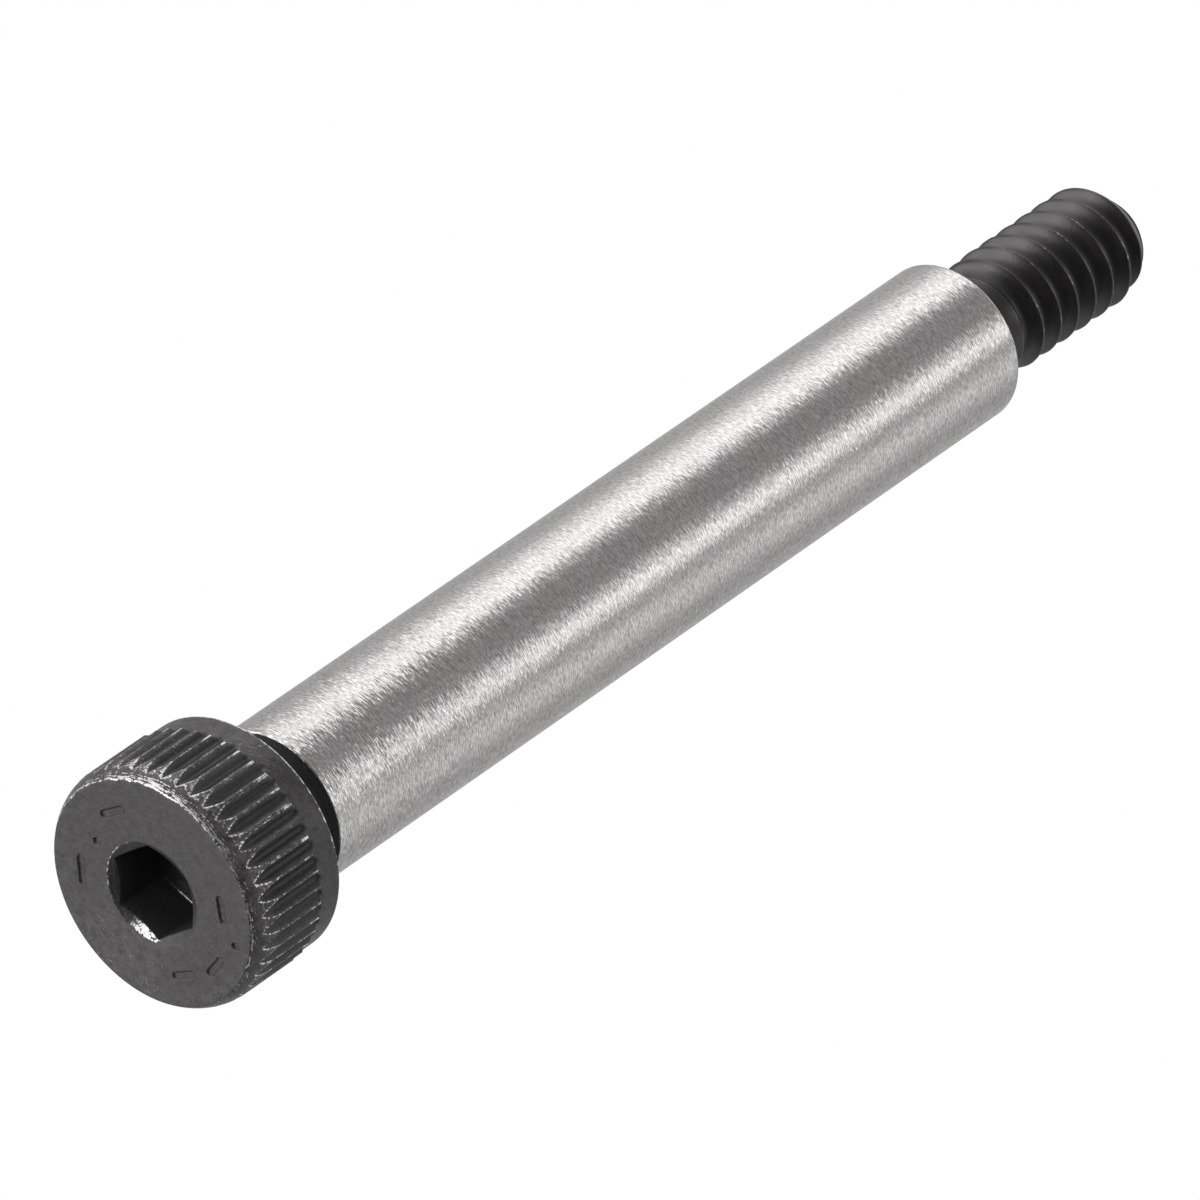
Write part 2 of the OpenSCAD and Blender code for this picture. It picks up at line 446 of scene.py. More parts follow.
# Plain recessed strokes in the face
stroke = {
    "places": [  # how far right of and above the face's centre, and how long
        (-0.6, 3.15, 0.95),
        (-1.85, 2.0, 0.0),
        (-3.05, 0.9, 0.95),
        (0.25, -3.15, 0.8),
        (1.9, -2.8, 0.8),
        (3.2, -2.0, 0.0),
        (3.1, -0.6, 0.8),
    ],
    "width": 0.26,
    "depth": 0.08,
    "round": 0.06,
    "up": -135.3,  # azimuth of the face's upper side as the camera sees it
    "endPoints": 13,
    "section": [  # spread as a share of the round, share of the depth, wear and painted shade
        (1.0, 0.0, 0.0, 0.0),
        (0.7, 0.05, 0.2, 0.0),
        (0.3, 0.2625, 0.1, 0.1),
        (0.0, 0.6, 0.0, 0.45),
        (-0.4, 0.9, 0.0, 0.35),
        (-1.0, 1.0, 0.0, 0.0),
    ],
}


def strokeLoop(right, up, length, radius):
    turn = math.radians(stroke["up"])
    x = up * math.cos(turn) - right * math.sin(turn)
    y = up * math.sin(turn) + right * math.cos(turn)
    along = math.atan2(y, x) + math.pi / 2
    loop = []
    for side in (0, math.pi):
        for step in np.linspace(-math.pi / 2, math.pi / 2, stroke["endPoints"]):
            angle = along + side + step
            offset = length / 2 * math.cos(side)
            loop.append((
                x + offset * math.cos(along) + radius * math.cos(angle),
                y + offset * math.sin(along) + radius * math.sin(angle),
            ))
    return np.array(loop)


# The flat face between its edge and the socket's mouth, with the strokes sunk into it
def makeFlatFace(parts, outer, inner):
    loops = [outer, inner]
    for right, up, length in stroke["places"]:
        rings = []
        for spread, sunk, wear, shade in stroke["section"]:
            loop = strokeLoop(right, up, length, stroke["width"] / 2 + spread * stroke["round"])
            heights = np.full(len(loop), sunk * stroke["depth"])
            rings.append(addPoints(parts, loop[:, 0], loop[:, 1], heights, wear, shade))
        joinRings(parts, rings[::-1])
        addFace(parts, rings[-1][::-1], flat=True)
        loops.append(rings[0])
    index = [i for loop in loops for i in loop]
    owner = [number for number, loop in enumerate(loops) for _ in loop]
    edges, first = [], 0
    for loop in loops:
        edges += [(first + i, first + (i + 1) % len(loop)) for i in range(len(loop))]
        first += len(loop)
    corners = [Vector(parts["points"][i][:2]) / mm for i in index]
    _, _, triangles, origins, _, _ = delaunay_2d_cdt(corners, edges, [], 0, 1e-6)
    for triangle in triangles:
        source = [origins[i][0] for i in triangle]
        kinds = {owner[i] for i in source}
        if len(kinds) > 1 or kinds == {0}:  # not inside the mouth or a stroke
            addFace(parts, [index[i] for i in reversed(source)], flat=True)


def addFaceEdge(parts, angles, lines):
    radius, edge = head["crestRadius"] - head["crownDraw"], head["faceEdgeRound"]
    crown, least = float(sideOutline(edge)), frontRim["least"]
    speckled = near(angles, *headWear["speckledFace"])
    rings = [addRing(parts, angles, radius - edge - head["faceEdgeMargin"], 0, 0, 0, speckled)]
    for t in (0, 0.25, 0.5, 0.75):
        curve = (1 - t) ** 2 * (radius - edge) + 2 * t * (1 - t) * radius + t**2 * crown
        wear = rimWear(lines, t**2 * edge) * (least + (1 - least) * t)
        rings.append(addRing(parts, angles, curve, t**2 * edge, wear, 0, headWear["edgeSpots"]))
    return rings


# Crown, knurl and band. A ridge lies between two grooves.
def addSide(parts, angles, lines, worn, rearLine):
    uneven, amount, rings = makeUnevenness(), headWear, []
    ridge = np.floor(angles / (2 * math.pi) * head["ridges"]).astype(int) % head["ridges"]
    rubbed, scraped = uneven["rubbed"][ridge], uneven["scraped"][ridge]
    for z in np.concatenate([np.linspace(*span) for span in headRings]):
        outline = np.full(angles.shape, float(sideOutline(z)))
        groove = grooveSurface(angles, z, uneven)
        radius = np.minimum(softMin(outline, groove, head["ridgeRound"]), outline)
        wear = np.maximum(ridgeWear(z, groove - outline, worn, rubbed, scraped), rimWear(lines, z))
        wear = np.maximum(wear, smoothStep(*headZones["rim"], z) * rearLine)
        # Painted shade: the oxide darkens with depth below the head's side
        deep = smoothStep(*headZones["deep"], outline - radius)
        spots = (amount["spots"] + amount["spotsWorn"] * worn) * (1 - amount["spotsLessDeep"] * deep)
        spots = spots * (1 - amount["spotsLessBand"] * smoothStep(*headZones["band"], z))
        rings.append(addRing(parts, angles, radius, z, np.clip(wear, 0, 1), deep, spots))
    return rings


# Broken edge, bearing face and undercut
def addBack(parts, angles, bandRing, rearLine):
    height, band, rim = head["height"], head["bandRadius"], head["rimBreak"]
    rear = [bandRing]
    rear.append(addRing(parts, angles, band - edgeSoft, height - rim + edgeSoft / 2, rearLine))
    faded = headWear["rearBack"] * rearLine
    rear.append(addRing(parts, angles, band - rim + edgeSoft / 2, height - edgeSoft, faded))
    rear.append(addRing(parts, angles, band - rim - edgeSoft, height))
    joinRings(parts, rear)
    neck, neckRound, lip = head["undercutRadius"], head["undercutRound"], shoulder["undercutBreak"]
    back = [rear[-1], addRing(parts, angles, neck + neckRound + head["undercutMargin"], height)]
    for degrees in (0, 22, 45, 67, 90):
        back.append(addRing(parts, angles, *quarterRound(neck, height, neckRound, degrees)))
    step = head["undercutEnd"] - (shoulder["radius"] - neck)
    back.append(addRing(parts, angles, neck, step - 2.5 * edgeSoft))
    back.append(addRing(parts, angles, neck + edgeSoft, step + edgeSoft))
    back.append(addRing(parts, angles, shoulder["radius"] - lip, head["undercutEnd"] - lip))
    # The undercut is in the shaded copy of the oxide: painted shade
    joinRings(parts, back, shadedCopy=1)
    closeRing(parts, back[-1], head["undercutEnd"] - lip, shadedCopy=1)


def makeHead(materials):
    parts = newParts()
    angles = headColumns()
    mouthRing = makeSocket(parts, angles)
    side, amount = head["wornSide"], headWear
    worn = near(angles, side, amount["reach"])
    worn = worn + amount["second"] * near(angles, side + amount["secondTurn"], amount["secondReach"])
    random = np.random.default_rng(seeds["rear"])
    rearLine = amount["rear"] + amount["rearWorn"] * worn + wanders(angles, random, amount["rearFade"])
    lines = makeRim(angles)
    front = addFaceEdge(parts, angles, lines) + addSide(parts, angles, lines, worn, rearLine)
    joinRings(parts, front)
    makeFlatFace(parts, front[0], mouthRing)
    addBack(parts, angles, front[-1], rearLine)
    makePiece("bolt_head", parts, materials)


# Ground shoulder, where only the steel between its two broken edges is bright
shoulder = {
    "radius": 3.135,
    "end": 46.05,
    "undercutBreak": 0.06,
    "endBreak": 0.06,
    "capDepth": 0.4,
    "coarseLength": 16,  # from the undercut, over which the grinding becomes finer
    "sides": 360,
    "rings": 60,
    "firstRing": 0.5,  # from its ends to the first and last of these
    "lastRing": 0.4,
}


def makeShoulder(materials):
    parts = newParts()
    angles = np.linspace(0, 2 * math.pi, shoulder["sides"], endpoint=False)
    radius, lip, start = shoulder["radius"], shoulder["undercutBreak"], head["undercutEnd"]
    end, endBreak, soft = shoulder["end"], shoulder["endBreak"], edgeSoft
    corner = end - endBreak
    plain = np.linspace(start + shoulder["firstRing"], corner - shoulder["lastRing"], shoulder["rings"])
    outline = [  # radius, height and wear
        (radius - lip, start - lip, 0.4),
        (radius - soft, start - soft, 0.6),
        (radius - soft / 5, start + 0.6 * soft, 0.3),
        (radius, start + 2.5 * soft, 0.1),
        *[(radius, z, 0) for z in plain],
        (radius, corner - 2.5 * soft, 0.1),
        (radius - 0.3 * soft, corner - soft / 2, 0.4),
        (radius - soft, corner + 0.6 * soft, 0.6),
        (radius - endBreak + soft, end - soft, 0.5),
        (radius - endBreak, end, 0.4),
    ]
    rings = []
    for r, z, wear in outline:
        coarse = 1 - smoothStep(start, start + shoulder["coarseLength"], z)
        rings.append(addRing(parts, angles, r, z, wear, 0, coarse))
    joinRings(parts, rings)
    closeRing(parts, rings[0][::-1], start - lip)
    closeRing(parts, rings[-1], end - shoulder["capDepth"])
    makePiece("bolt_shoulder", parts, materials)


# Threaded end
thread = {
    "crestRadius": 2.35,
    "rootRadius": 1.765,
    "pitch": 1.058,
    "crestShare": 0.2,  # of the pitch
    "crestDrop": 0.0529,  # from the crest to where its flanks begin
    "crestRound": 0.13,
    "rootRound": 0.16,
    "neckRadius": 1.741,
    "neckLength": 1.15,
    "neckFillet": 0.12,
    "neckMargin": 0.03,  # how far below it the roots may reach
    "flareLength": 0.4,  # end of the neck, which widens
    "flareShare": 0.04,  # how much, as a share of that length
    "footWear": 0.4,  # at the edge of the shoulder's end face
    "footEdge": 0.04,  # from there to that face's first ring
    "footMargin": 0.05,  # from its last ring to the neck's fillet
    "clearance": 0.1,  # of the blank's outline beyond the crests
    "runoutLength": 1.5,
    "runoutStart": 0.02,  # the blank's step up from the neck
    "blankRound": 0.04,  # between the blank's outline and the teeth
    "tipLength": 1.1,
    "tipRadius": 1.65,
    "tipRound": 0.4,
    "tipSquash": 0.8,  # how far that round draws in, as a share of its height
    "endMargin": 0.1,  # from it to the end face's first ring
    "endRing": 0.6,
    "end": 55.575,
    "base": 43.857,  # where the turns would start inside the shoulder
    "sides": 240,
    "ringStep": 0.04,
    "crestWear": 0.4,
    "crestWearFade": [(0.22, 16), (0.16, 70)],
    "wornBand": 0.1,  # from the crest down
    "darkBand": 0.35,  # painted shade, from the root up
}


# One turn of the thread climbs by a pitch: the radius at each angle of one height
def threadRadius(angles, z):
    root, crest, pitch = thread["rootRadius"], thread["crestRadius"], thread["pitch"]
    crestRound, rootRound = thread["crestRound"], thread["rootRound"]
    steep = 1 / math.tan(math.radians(30))
    crestHalf = thread["crestShare"] / 2
    flank = (crest - thread["crestDrop"] - root) / steep / pitch
    turns = (z - thread["base"]) / pitch - angles / (2 * math.pi) + crestHalf + flank
    away = (turns - np.round(turns)) * pitch
    over = crest + crestRound - np.hypot(away * steep, crestRound) - root
    return root + 0.5 * (over + np.hypot(over, rootRound)) - rootRound / 4


# End face of the shoulder, and the neck
def addNeck(parts, angles):
    start, fillet, neck = shoulder["end"], thread["neckFillet"], thread["neckRadius"]
    edge = shoulder["radius"] - shoulder["endBreak"]
    foot = [
        addRing(parts, angles, edge, start, thread["footWear"]),
        addRing(parts, angles, edge - thread["footEdge"], start),
        addRing(parts, angles, neck + fillet + thread["footMargin"], start),
    ]
    joinRings(parts, foot)
    rings = foot[-1:]
    # Painted shade on the fillet and the neck, which are also in the shaded copy of the oxide
    for degrees in (0, 30, 60, 90):
        rings.append(addRing(parts, angles, *quarterRound(neck, start, fillet, degrees), 0, 1))
    flareStart = start + thread["neckLength"] - thread["flareLength"]
    for share in (0, 0.1, 0.5, 0.75, 1):
        rise = share * thread["flareLength"]
        radius = neck + thread["flareShare"] * rise
        rings.append(addRing(parts, angles, radius, flareStart + rise, 0, 1))
    joinRings(parts, rings, shadedCopy=1)
    return foot[0], rings[-1]


# Turns: the first grows out of the neck, and the last ones run down the tip
def addTurns(parts, angles, neckRing, taper):
    root, crest, neck = thread["rootRadius"], thread["crestRadius"], thread["neckRadius"]
    end, ringStep = thread["end"], thread["ringStep"]
    neckEnd = shoulder["end"] + thread["neckLength"]
    growth = (crest + thread["clearance"] - neck) / thread["runoutLength"]
    random = np.random.default_rng(seeds["crests"])
    rubbed = thread["crestWear"] + wanders(angles, random, thread["crestWearFade"])
    rings = [neckRing]
    for z in np.arange(neckEnd + ringStep, end - thread["tipRound"], ringStep):
        tooth = threadRadius(angles, z)
        grown = neck + thread["runoutStart"] + (z - neckEnd) * growth
        tapered = thread["tipRadius"] + (end - z) * taper
        radius = softMin(tooth, np.full(angles.shape, min(grown, tapered)), thread["blankRound"])
        radius = np.maximum(radius, min(neck, tapered) - thread["neckMargin"])
        wear = smoothStep(crest - thread["wornBand"], crest, radius) * rubbed
        # Painted shade in the roots between the turns
        deep = 1 - smoothStep(root, root + thread["darkBand"], radius)
        rings.append(addRing(parts, angles, radius, z, wear, deep))
    joinRings(parts, rings)
    return rings[-1], radius


# Rounded edge and flat end
def addTip(parts, angles, lastRing, radius, taper):
    end, tipRound = thread["end"], thread["tipRound"]
    rings = [lastRing]
    # Painted shade on the rounded edge and the end, which are also in the shaded copy of the oxide
    for degrees in (25, 45, 65, 80, 90):
        a = math.radians(degrees)
        z = end - tipRound * (1 - math.sin(a))
        squashed = tipRound * thread["tipSquash"] * (1 - math.cos(a))
        shrink = squashed + tipRound * math.sin(a) * taper / 2
        rings.append(addRing(parts, angles, radius - shrink, z, 0, 1))
    rings.append(addRing(parts, angles, radius - shrink - thread["endMargin"], end, 0, 1))
    rings.append(addRing(parts, angles, thread["endRing"], end, 0, 1))
    joinRings(parts, rings, shadedCopy=1)
    return rings[-1]


def makeThread(materials):
    parts = newParts()
    angles = np.linspace(0, 2 * math.pi, thread["sides"], endpoint=False)
    taper = (thread["crestRadius"] + thread["clearance"] - thread["tipRadius"]) / thread["tipLength"]
    footRing, neckRing = addNeck(parts, angles)
    lastRing, radius = addTurns(parts, angles, neckRing, taper)
    endRing = addTip(parts, angles, lastRing, radius, taper)
    closeRing(parts, footRing[::-1], shoulder["end"] - shoulder["capDepth"])
    # The end's middle carries the same painted shade
    closeRing(parts, endRing, thread["end"], shade=1, shadedCopy=1)
    makePiece("bolt_thread", parts, materials)


# Shader helpers
def newGroup(name, inputs, outputs):
    group = bpy.data.node_groups.new(name, "ShaderNodeTree")
    for label, kind, value in inputs:
        made = group.interface.new_socket(label, in_out="INPUT", socket_type=kind)
        if value is not None:
            made.default_value = value
    for label in outputs:
        group.interface.new_socket(label, in_out="OUTPUT", socket_type="NodeSocketFloat")
    source = group.nodes.new("NodeGroupInput").outputs
    result = group.nodes.new("NodeGroupOutput").inputs
    return group, source, result


def emptyTree(owner):
    owner.use_nodes = True
    owner.node_tree.nodes.clear()
    return owner.node_tree


def fillInputs(tree, node, values):
    for name, value in values.items():
        if isinstance(value, bpy.types.NodeSocket):
            tree.links.new(value, node.inputs[name])
        else:
            node.inputs[name].default_value = value
    return node


def addNode(tree, kind, values=None, **settings):
    node = tree.nodes.new(kind)
    for name, value in settings.items():
        setattr(node, name, value)
    return fillInputs(tree, node, values or {})


def placeGroup(tree, group, values):
    node = addNode(tree, "ShaderNodeGroup", node_tree=group)
    return fillInputs(tree, node, values).outputs


def noise(tree, vector, scale, detail, roughness=0.5):
    values = {"Vector": vector, "Scale": scale, "Detail": detail, "Roughness": roughness}
    return addNode(tree, "ShaderNodeTexNoise", values).outputs["Fac"]


def remap(tree, value, fromMin, fromMax, toMin=0.0, toMax=1.0):
    values = {"Value": value, "From Min": fromMin, "From Max": fromMax, "To Min": toMin, "To Max": toMax}
    return addNode(tree, "ShaderNodeMapRange", values).outputs[0]


def calculate(tree, operation, a, b):
    return addNode(tree, "ShaderNodeMath", {0: a, 1: b}, operation=operation).outputs[0]


def mixColours(tree, factor, a, b):
    return addNode(tree, "ShaderNodeMix", {0: factor, 6: a, 7: b}, data_type="RGBA").outputs[2]


def readPoints(tree, label):
    return addNode(tree, "ShaderNodeAttribute", attribute_name=label).outputs["Fac"]


def glowing(tree, strength):
    return addNode(tree, "ShaderNodeEmission", {"Color": grey(1.0), "Strength": strength}).outputs[0]


def grey(value, warm=0.0):
    return (value * (1 + warm), value, value * (1 - warm), 1)


# Light spots and grain of the oxide, in patches. A noise has its scale, detail and roughness.
speckle = {
    "broad": (900.0, 4.0, 0.6),
    "fine": (10000.0, 3.0, 0.7),
    "grain": (7000.0, 4.0, 0.65),
    "cloud": (2600.0, 4.0, 0.7),
    "patch": (0.42, 0.6, -0.07, 0.05),
    "lift": 0.12,
    "spots": (0.70, 0.80),
    "stain": (0.40, 0.66),
}


def makeSpeckle():
    inputs = [
        ("Vector", "NodeSocketVector", None),
        ("Spots", "NodeSocketFloat", 0.5),
    ]
    group, source, result = newGroup("oxideSpeckle", inputs, ["Tone", "Spots", "Stain", "Height"])
    broad = noise(group, source["Vector"], *speckle["broad"])
    fine = noise(group, source["Vector"], *speckle["fine"])
    grain = noise(group, source["Vector"], *speckle["grain"])
    patch = remap(group, broad, *speckle["patch"])
    lift = calculate(group, "MULTIPLY", source["Spots"], speckle["lift"])
    total = calculate(group, "ADD", calculate(group, "ADD", fine, patch), lift)
    group.links.new(remap(group, total, *speckle["spots"]), result["Spots"])
    cloud = noise(group, source["Vector"], *speckle["cloud"])
    stain = calculate(group, "MULTIPLY", remap(group, cloud, *speckle["stain"]), source["Spots"])
    group.links.new(stain, result["Stain"])
    tone = calculate(group, "ADD", cloud, grain)
    group.links.new(calculate(group, "MULTIPLY", tone, 0.5), result["Tone"])
    group.links.new(grain, result["Height"])
    return group


# Where the oxide is rubbed through to bright steel
rubbedThrough = {
    "grain": (14000.0, 3.0, 0.65),
    "patch": (5000.0, 2.0),
    "patchShare": 0.8,
    "ragged": (0.5, 1.3, 0.0, 2.0),
    "mask": (0.42, 0.54),
}


def makeWorn():
    inputs = [
        ("Vector", "NodeSocketVector", None),
        ("Edge", "NodeSocketFloat", 0.0),
        ("Amount", "NodeSocketFloat", 1.0),
    ]
    group, source, result = newGroup("wornThrough", inputs, ["Mask"])
    grain = noise(group, source["Vector"], *rubbedThrough["grain"])
    patch = noise(group, source["Vector"], *rubbedThrough["patch"])
    edge = calculate(group, "MULTIPLY", source["Edge"], source["Amount"])
    patch = calculate(group, "MULTIPLY", patch, rubbedThrough["patchShare"])
    ragged = remap(group, calculate(group, "ADD", grain, patch), *rubbedThrough["ragged"])
    total = calculate(group, "MULTIPLY", edge, ragged)
    group.links.new(remap(group, total, *rubbedThrough["mask"]), result["Mask"])
    return group


# Short fine lines that run round the bolt's axis, with a width and a length in millimetres
turned = {
    "tone": (1.0, 2.5, 0.6),
    "height": (0.6, 2.0, 0.6),
    "lean": (1.0, 2.0, 0.6),
    "beside": (31.0, 17.0, 53.0),  # so that the lean doesn't follow the tone
}


def makeTurnedLines():
    inputs = [
        ("Vector", "NodeSocketVector", None),
        ("Width", "NodeSocketFloat", 0.05),
        ("Length", "NodeSocketFloat", 1.2),
    ]
    group, source, result = newGroup("turnedLines", inputs, ["Tone", "Height", "Lean"])
    around = calculate(group, "DIVIDE", 1 / mm, source["Length"])
    along = calculate(group, "DIVIDE", 1 / mm, source["Width"])
    scale = addNode(group, "ShaderNodeCombineXYZ", {"X": around, "Y": around, "Z": along}).outputs[0]
    values = {0: source["Vector"], 1: scale}
    stretched = addNode(group, "ShaderNodeVectorMath", values, operation="MULTIPLY").outputs[0]
    beside = addNode(group, "ShaderNodeVectorMath", {0: stretched, 1: turned["beside"]}).outputs[0]
    group.links.new(noise(group, stretched, *turned["tone"]), result["Tone"])
    group.links.new(noise(group, stretched, *turned["height"]), result["Height"])
    lean = calculate(group, "SUBTRACT", noise(group, beside, *turned["lean"]), 0.5)
    group.links.new(lean, result["Lean"])
    return group


def newMaterial(name):
    material = bpy.data.materials.new(name)
    tree = emptyTree(material)
    shader = addNode(tree, "ShaderNodeBsdfPrincipled")
    addNode(tree, "ShaderNodeOutputMaterial", {"Surface": shader.outputs[0]})
    place = addNode(tree, "ShaderNodeTexCoord").outputs["Object"]
    return material, tree, shader, place


# In each look, deep is the colour that painted shade darkens the oxide to
headOxideLook = {
    "dark": (0.005, 0.0045, 0.005, 1), "light": (0.054, 0.0505, 0.052, 1), "deep": grey(0.006),
    "spot": grey(0.26, 0.03), "bare": grey(0.74, 0.01), "rough": 0.33, "ior": 1.55,
    "tint": (1.0, 0.955, 0.985, 1), "spots": 1.0, "wear": 1.0, "bump": 1.6, "streaks": 0.0,
    "stain": (0.076, 0.068, 0.066, 1), "deepRough": 0.1,
}
threadOxideLook = {
    "dark": (0.006, 0.0054, 0.0057, 1), "light": (0.026, 0.0225, 0.0235, 1), "deep": grey(0.008),
    "spot": grey(0.06), "bare": (0.40, 0.37, 0.38, 1), "rough": 0.25, "ior": 1.7,
    "tint": (1.0, 0.94, 0.97, 1), "spots": 0.3, "wear": 0.9, "bump": 0.3, "streaks": 0.6,
    "stain": (0.026, 0.021, 0.020, 1), "deepRough": 0.25,
}
# A darker, duller copy of the oxide, for painted shade on the socket's walls, the undercut, the neck and the
# thread's tip
shadedRecessOxideLook = {
    "dark": grey(0.013), "light": grey(0.022), "deep": grey(0.012), "spot": grey(0.05),
    "bare": grey(0.3), "rough": 0.6, "ior": 1.3, "tint": grey(1.0), "spots": 0.1,
    "wear": 0.0, "bump": 0.2, "streaks": 0.0, "stain": grey(0.017), "deepRough": 0.0,
}
# What the three have in common
oxideLook = {
    "streakWidth": 0.2,
    "streakLength": 1.6,
    "tone": (0.35, 0.65),
    "roughSpread": 0.06,
    "bumpHeight": 0.00002,  # metres
}


def blackOxide(name, groups, look):
    material, tree, shader, place = newMaterial(name)
    many = calculate(tree, "MULTIPLY", readPoints(tree, "spots"), look["spots"])
    grain = placeGroup(tree, groups["speckle"], {"Vector": place, "Spots": many})
    edge, deep = readPoints(tree, "wear"), readPoints(tree, "shade")
    worn = placeGroup(tree, groups["worn"], {"Vector": place, "Edge": edge, "Amount": look["wear"]})
    values = {"Vector": place, "Width": oxideLook["streakWidth"], "Length": oxideLook["streakLength"]}
    streak = placeGroup(tree, groups["lines"], values)["Tone"]
    tone = remap(tree, grain["Tone"], *oxideLook["tone"])
    values = {0: look["streaks"], 2: tone, 3: remap(tree, streak, *oxideLook["tone"])}
    tone = addNode(tree, "ShaderNodeMix", values, data_type="FLOAT").outputs[0]
    oxide = mixColours(tree, tone, look["dark"], look["light"])
    oxide = mixColours(tree, grain["Stain"], oxide, look["stain"])
    # Painted shade: the shade attribute darkens the oxide towards the deep colour
    oxide = mixColours(tree, deep, oxide, look["deep"])
    oxide = mixColours(tree, grain["Spots"], oxide, look["spot"])
    colour = mixColours(tree, worn["Mask"], oxide, look["bare"])
    rough, spread = look["rough"], oxideLook["roughSpread"]
    rough = remap(tree, tone, 0, 1, rough + spread, rough - spread)
    rough = calculate(tree, "ADD", rough, calculate(tree, "MULTIPLY", deep, look["deepRough"]))
    values = {"Height": grain["Height"], "Strength": look["bump"], "Distance": oxideLook["bumpHeight"]}
    bump = addNode(tree, "ShaderNodeBump", values).outputs[0]
    fillInputs(tree, shader, {
        "Base Color": colour,
        "Metallic": worn["Mask"],
        "Roughness": rough,
        "IOR": look["ior"],
        "Specular Tint": look["tint"],
        "Normal": bump,
    })
    return material


groundSteelLook = {
    "dark": grey(0.42),
    "light": grey(0.80, 0.005),
    "tone": (0.38, 0.62),
    "rough": 0.25,
    "roughSpread": 0.06,
    "roughTone": (0.35, 0.65),
    "anisotropic": 0.7,
    "anisotropicTurn": 0.25,
    "lineWidth": 0.038,
    "lineLength": 0.2,
    "lean": 0.5,
    "coarseLean": 0.8,  # beside the head
    "bump": 0.5,
    "bumpHeight": 0.00001,  # metres
    "scratchWidth": 0.045,
    "scratchLength": 0.5,
    "scratchTone": (0.58, 0.70),
    "scratchFineShare": 0.15,  # of the scratches, where the grinding is fine
    "scratchCoarseShare": 0.9,
    "scratchLean": 0.9,
    "scratch": grey(0.24),
    "warm": (1.0, 0.985, 0.958, 1),
    "rosy": (1.0, 0.966, 0.972, 1),
    "tint": (420.0, 2.0),  # its noise's scale and detail
    "tintRange": (0.4, 0.6),
}


def groundSteel(name, groups, look):
    material, tree, shader, place = newMaterial(name)
    coarse = readPoints(tree, "spots")
    values = {"Vector": place, "Width": look["lineWidth"], "Length": look["lineLength"]}
    lines = placeGroup(tree, groups["lines"], values)
    values = {"Vector": place, "Width": look["scratchWidth"], "Length": look["scratchLength"]}
    scratches = placeGroup(tree, groups["lines"], values)

    # Colour: light and dark lines, faint tints and dark scratches
    shine = mixColours(tree, remap(tree, lines["Tone"], *look["tone"]), look["dark"], look["light"])
    stain = remap(tree, noise(tree, place, *look["tint"]), *look["tintRange"])
    values = {0: 1.0, 6: shine, 7: mixColours(tree, stain, look["warm"], look["rosy"])}
    tinted = addNode(tree, "ShaderNodeMix", values, data_type="RGBA", blend_type="MULTIPLY").outputs[2]
    many = remap(tree, coarse, 0, 1, look["scratchFineShare"], look["scratchCoarseShare"])
    cut = calculate(tree, "MULTIPLY", remap(tree, scratches["Tone"], *look["scratchTone"]), many)
    colour = mixColours(tree, cut, tinted, look["scratch"])
    rough, spread = look["rough"], look["roughSpread"]
    rough = remap(tree, lines["Tone"], *look["roughTone"], rough + spread, rough - spread)
    tangent = addNode(tree, "ShaderNodeTangent", direction_type="RADIAL", axis="Z").outputs[0]
    values = {"Height": lines["Height"], "Strength": look["bump"], "Distance": look["bumpHeight"]}
    bump = addNode(tree, "ShaderNodeBump", values).outputs[0]

    # Each line leans a little round the axis, so that the reflections end raggedly
    most = remap(tree, coarse, 0, 1, look["lean"], look["coarseLean"])
    lean = calculate(tree, "MULTIPLY", lines["Lean"], most)
    most = remap(tree, coarse, 0, 1, 0, look["scratchLean"])
    lean = calculate(tree, "ADD", lean, calculate(tree, "MULTIPLY", scratches["Lean"], most))
    values = {0: tangent, "Scale": lean}
    leaning = addNode(tree, "ShaderNodeVectorMath", values, operation="SCALE").outputs[0]
    tilted = addNode(tree, "ShaderNodeVectorMath", {0: bump, 1: leaning}).outputs[0]
    normal = addNode(tree, "ShaderNodeVectorMath", {0: tilted}, operation="NORMALIZE").outputs[0]
    fillInputs(tree, shader, {
        "Base Color": colour,
        "Metallic": 1.0,
        "Roughness": rough,
        "Anisotropic": look["anisotropic"],
        "Anisotropic Rotation": look["anisotropicTurn"],
        "Tangent": tangent,
        "Normal": normal,
    })
    return material


# Camera, found from the photograph's outlines: a long lens that looks up at the head from below.
# Its azimuth is 0 in front of the bolt (-Y) and 90 at its right (+X), as in the lights below.
camera = {
    "lens": 536.8,
    "sensor": 36.0,
    "aim": (0.433, 0.158, 24.867),
    "distance": 637.8,
    "azimuth": 20.05,
    "elevation": -41.57,
    "roll": 55.33,
    "clip": (0.05, 20),  # metres
}


def direction(azimuth, elevation):
    a, e = math.radians(azimuth), math.radians(elevation)
    return Vector((math.sin(a) * math.cos(e), -math.cos(a) * math.cos(e), math.sin(e)))


def makeCamera():
    data = bpy.data.cameras.new("camera")
    data.lens = camera["lens"]
    data.sensor_width = camera["sensor"]
    data.clip_start, data.clip_end = camera["clip"]
    view = bpy.data.objects.new("camera", data)
    scene.collection.objects.link(view)
    back = direction(camera["azimuth"], camera["elevation"])
    level = (-back).to_track_quat("-Z", "Y").to_matrix().to_4x4()
    roll = Matrix.Rotation(math.radians(camera["roll"]), 4, "Z")
    place = (Vector(camera["aim"]) + back * camera["distance"]) * mm
    view.matrix_world = Matrix.Translation(place) @ level @ roll
    scene.camera = view
    print("camera at", [round(x, 4) for x in place])


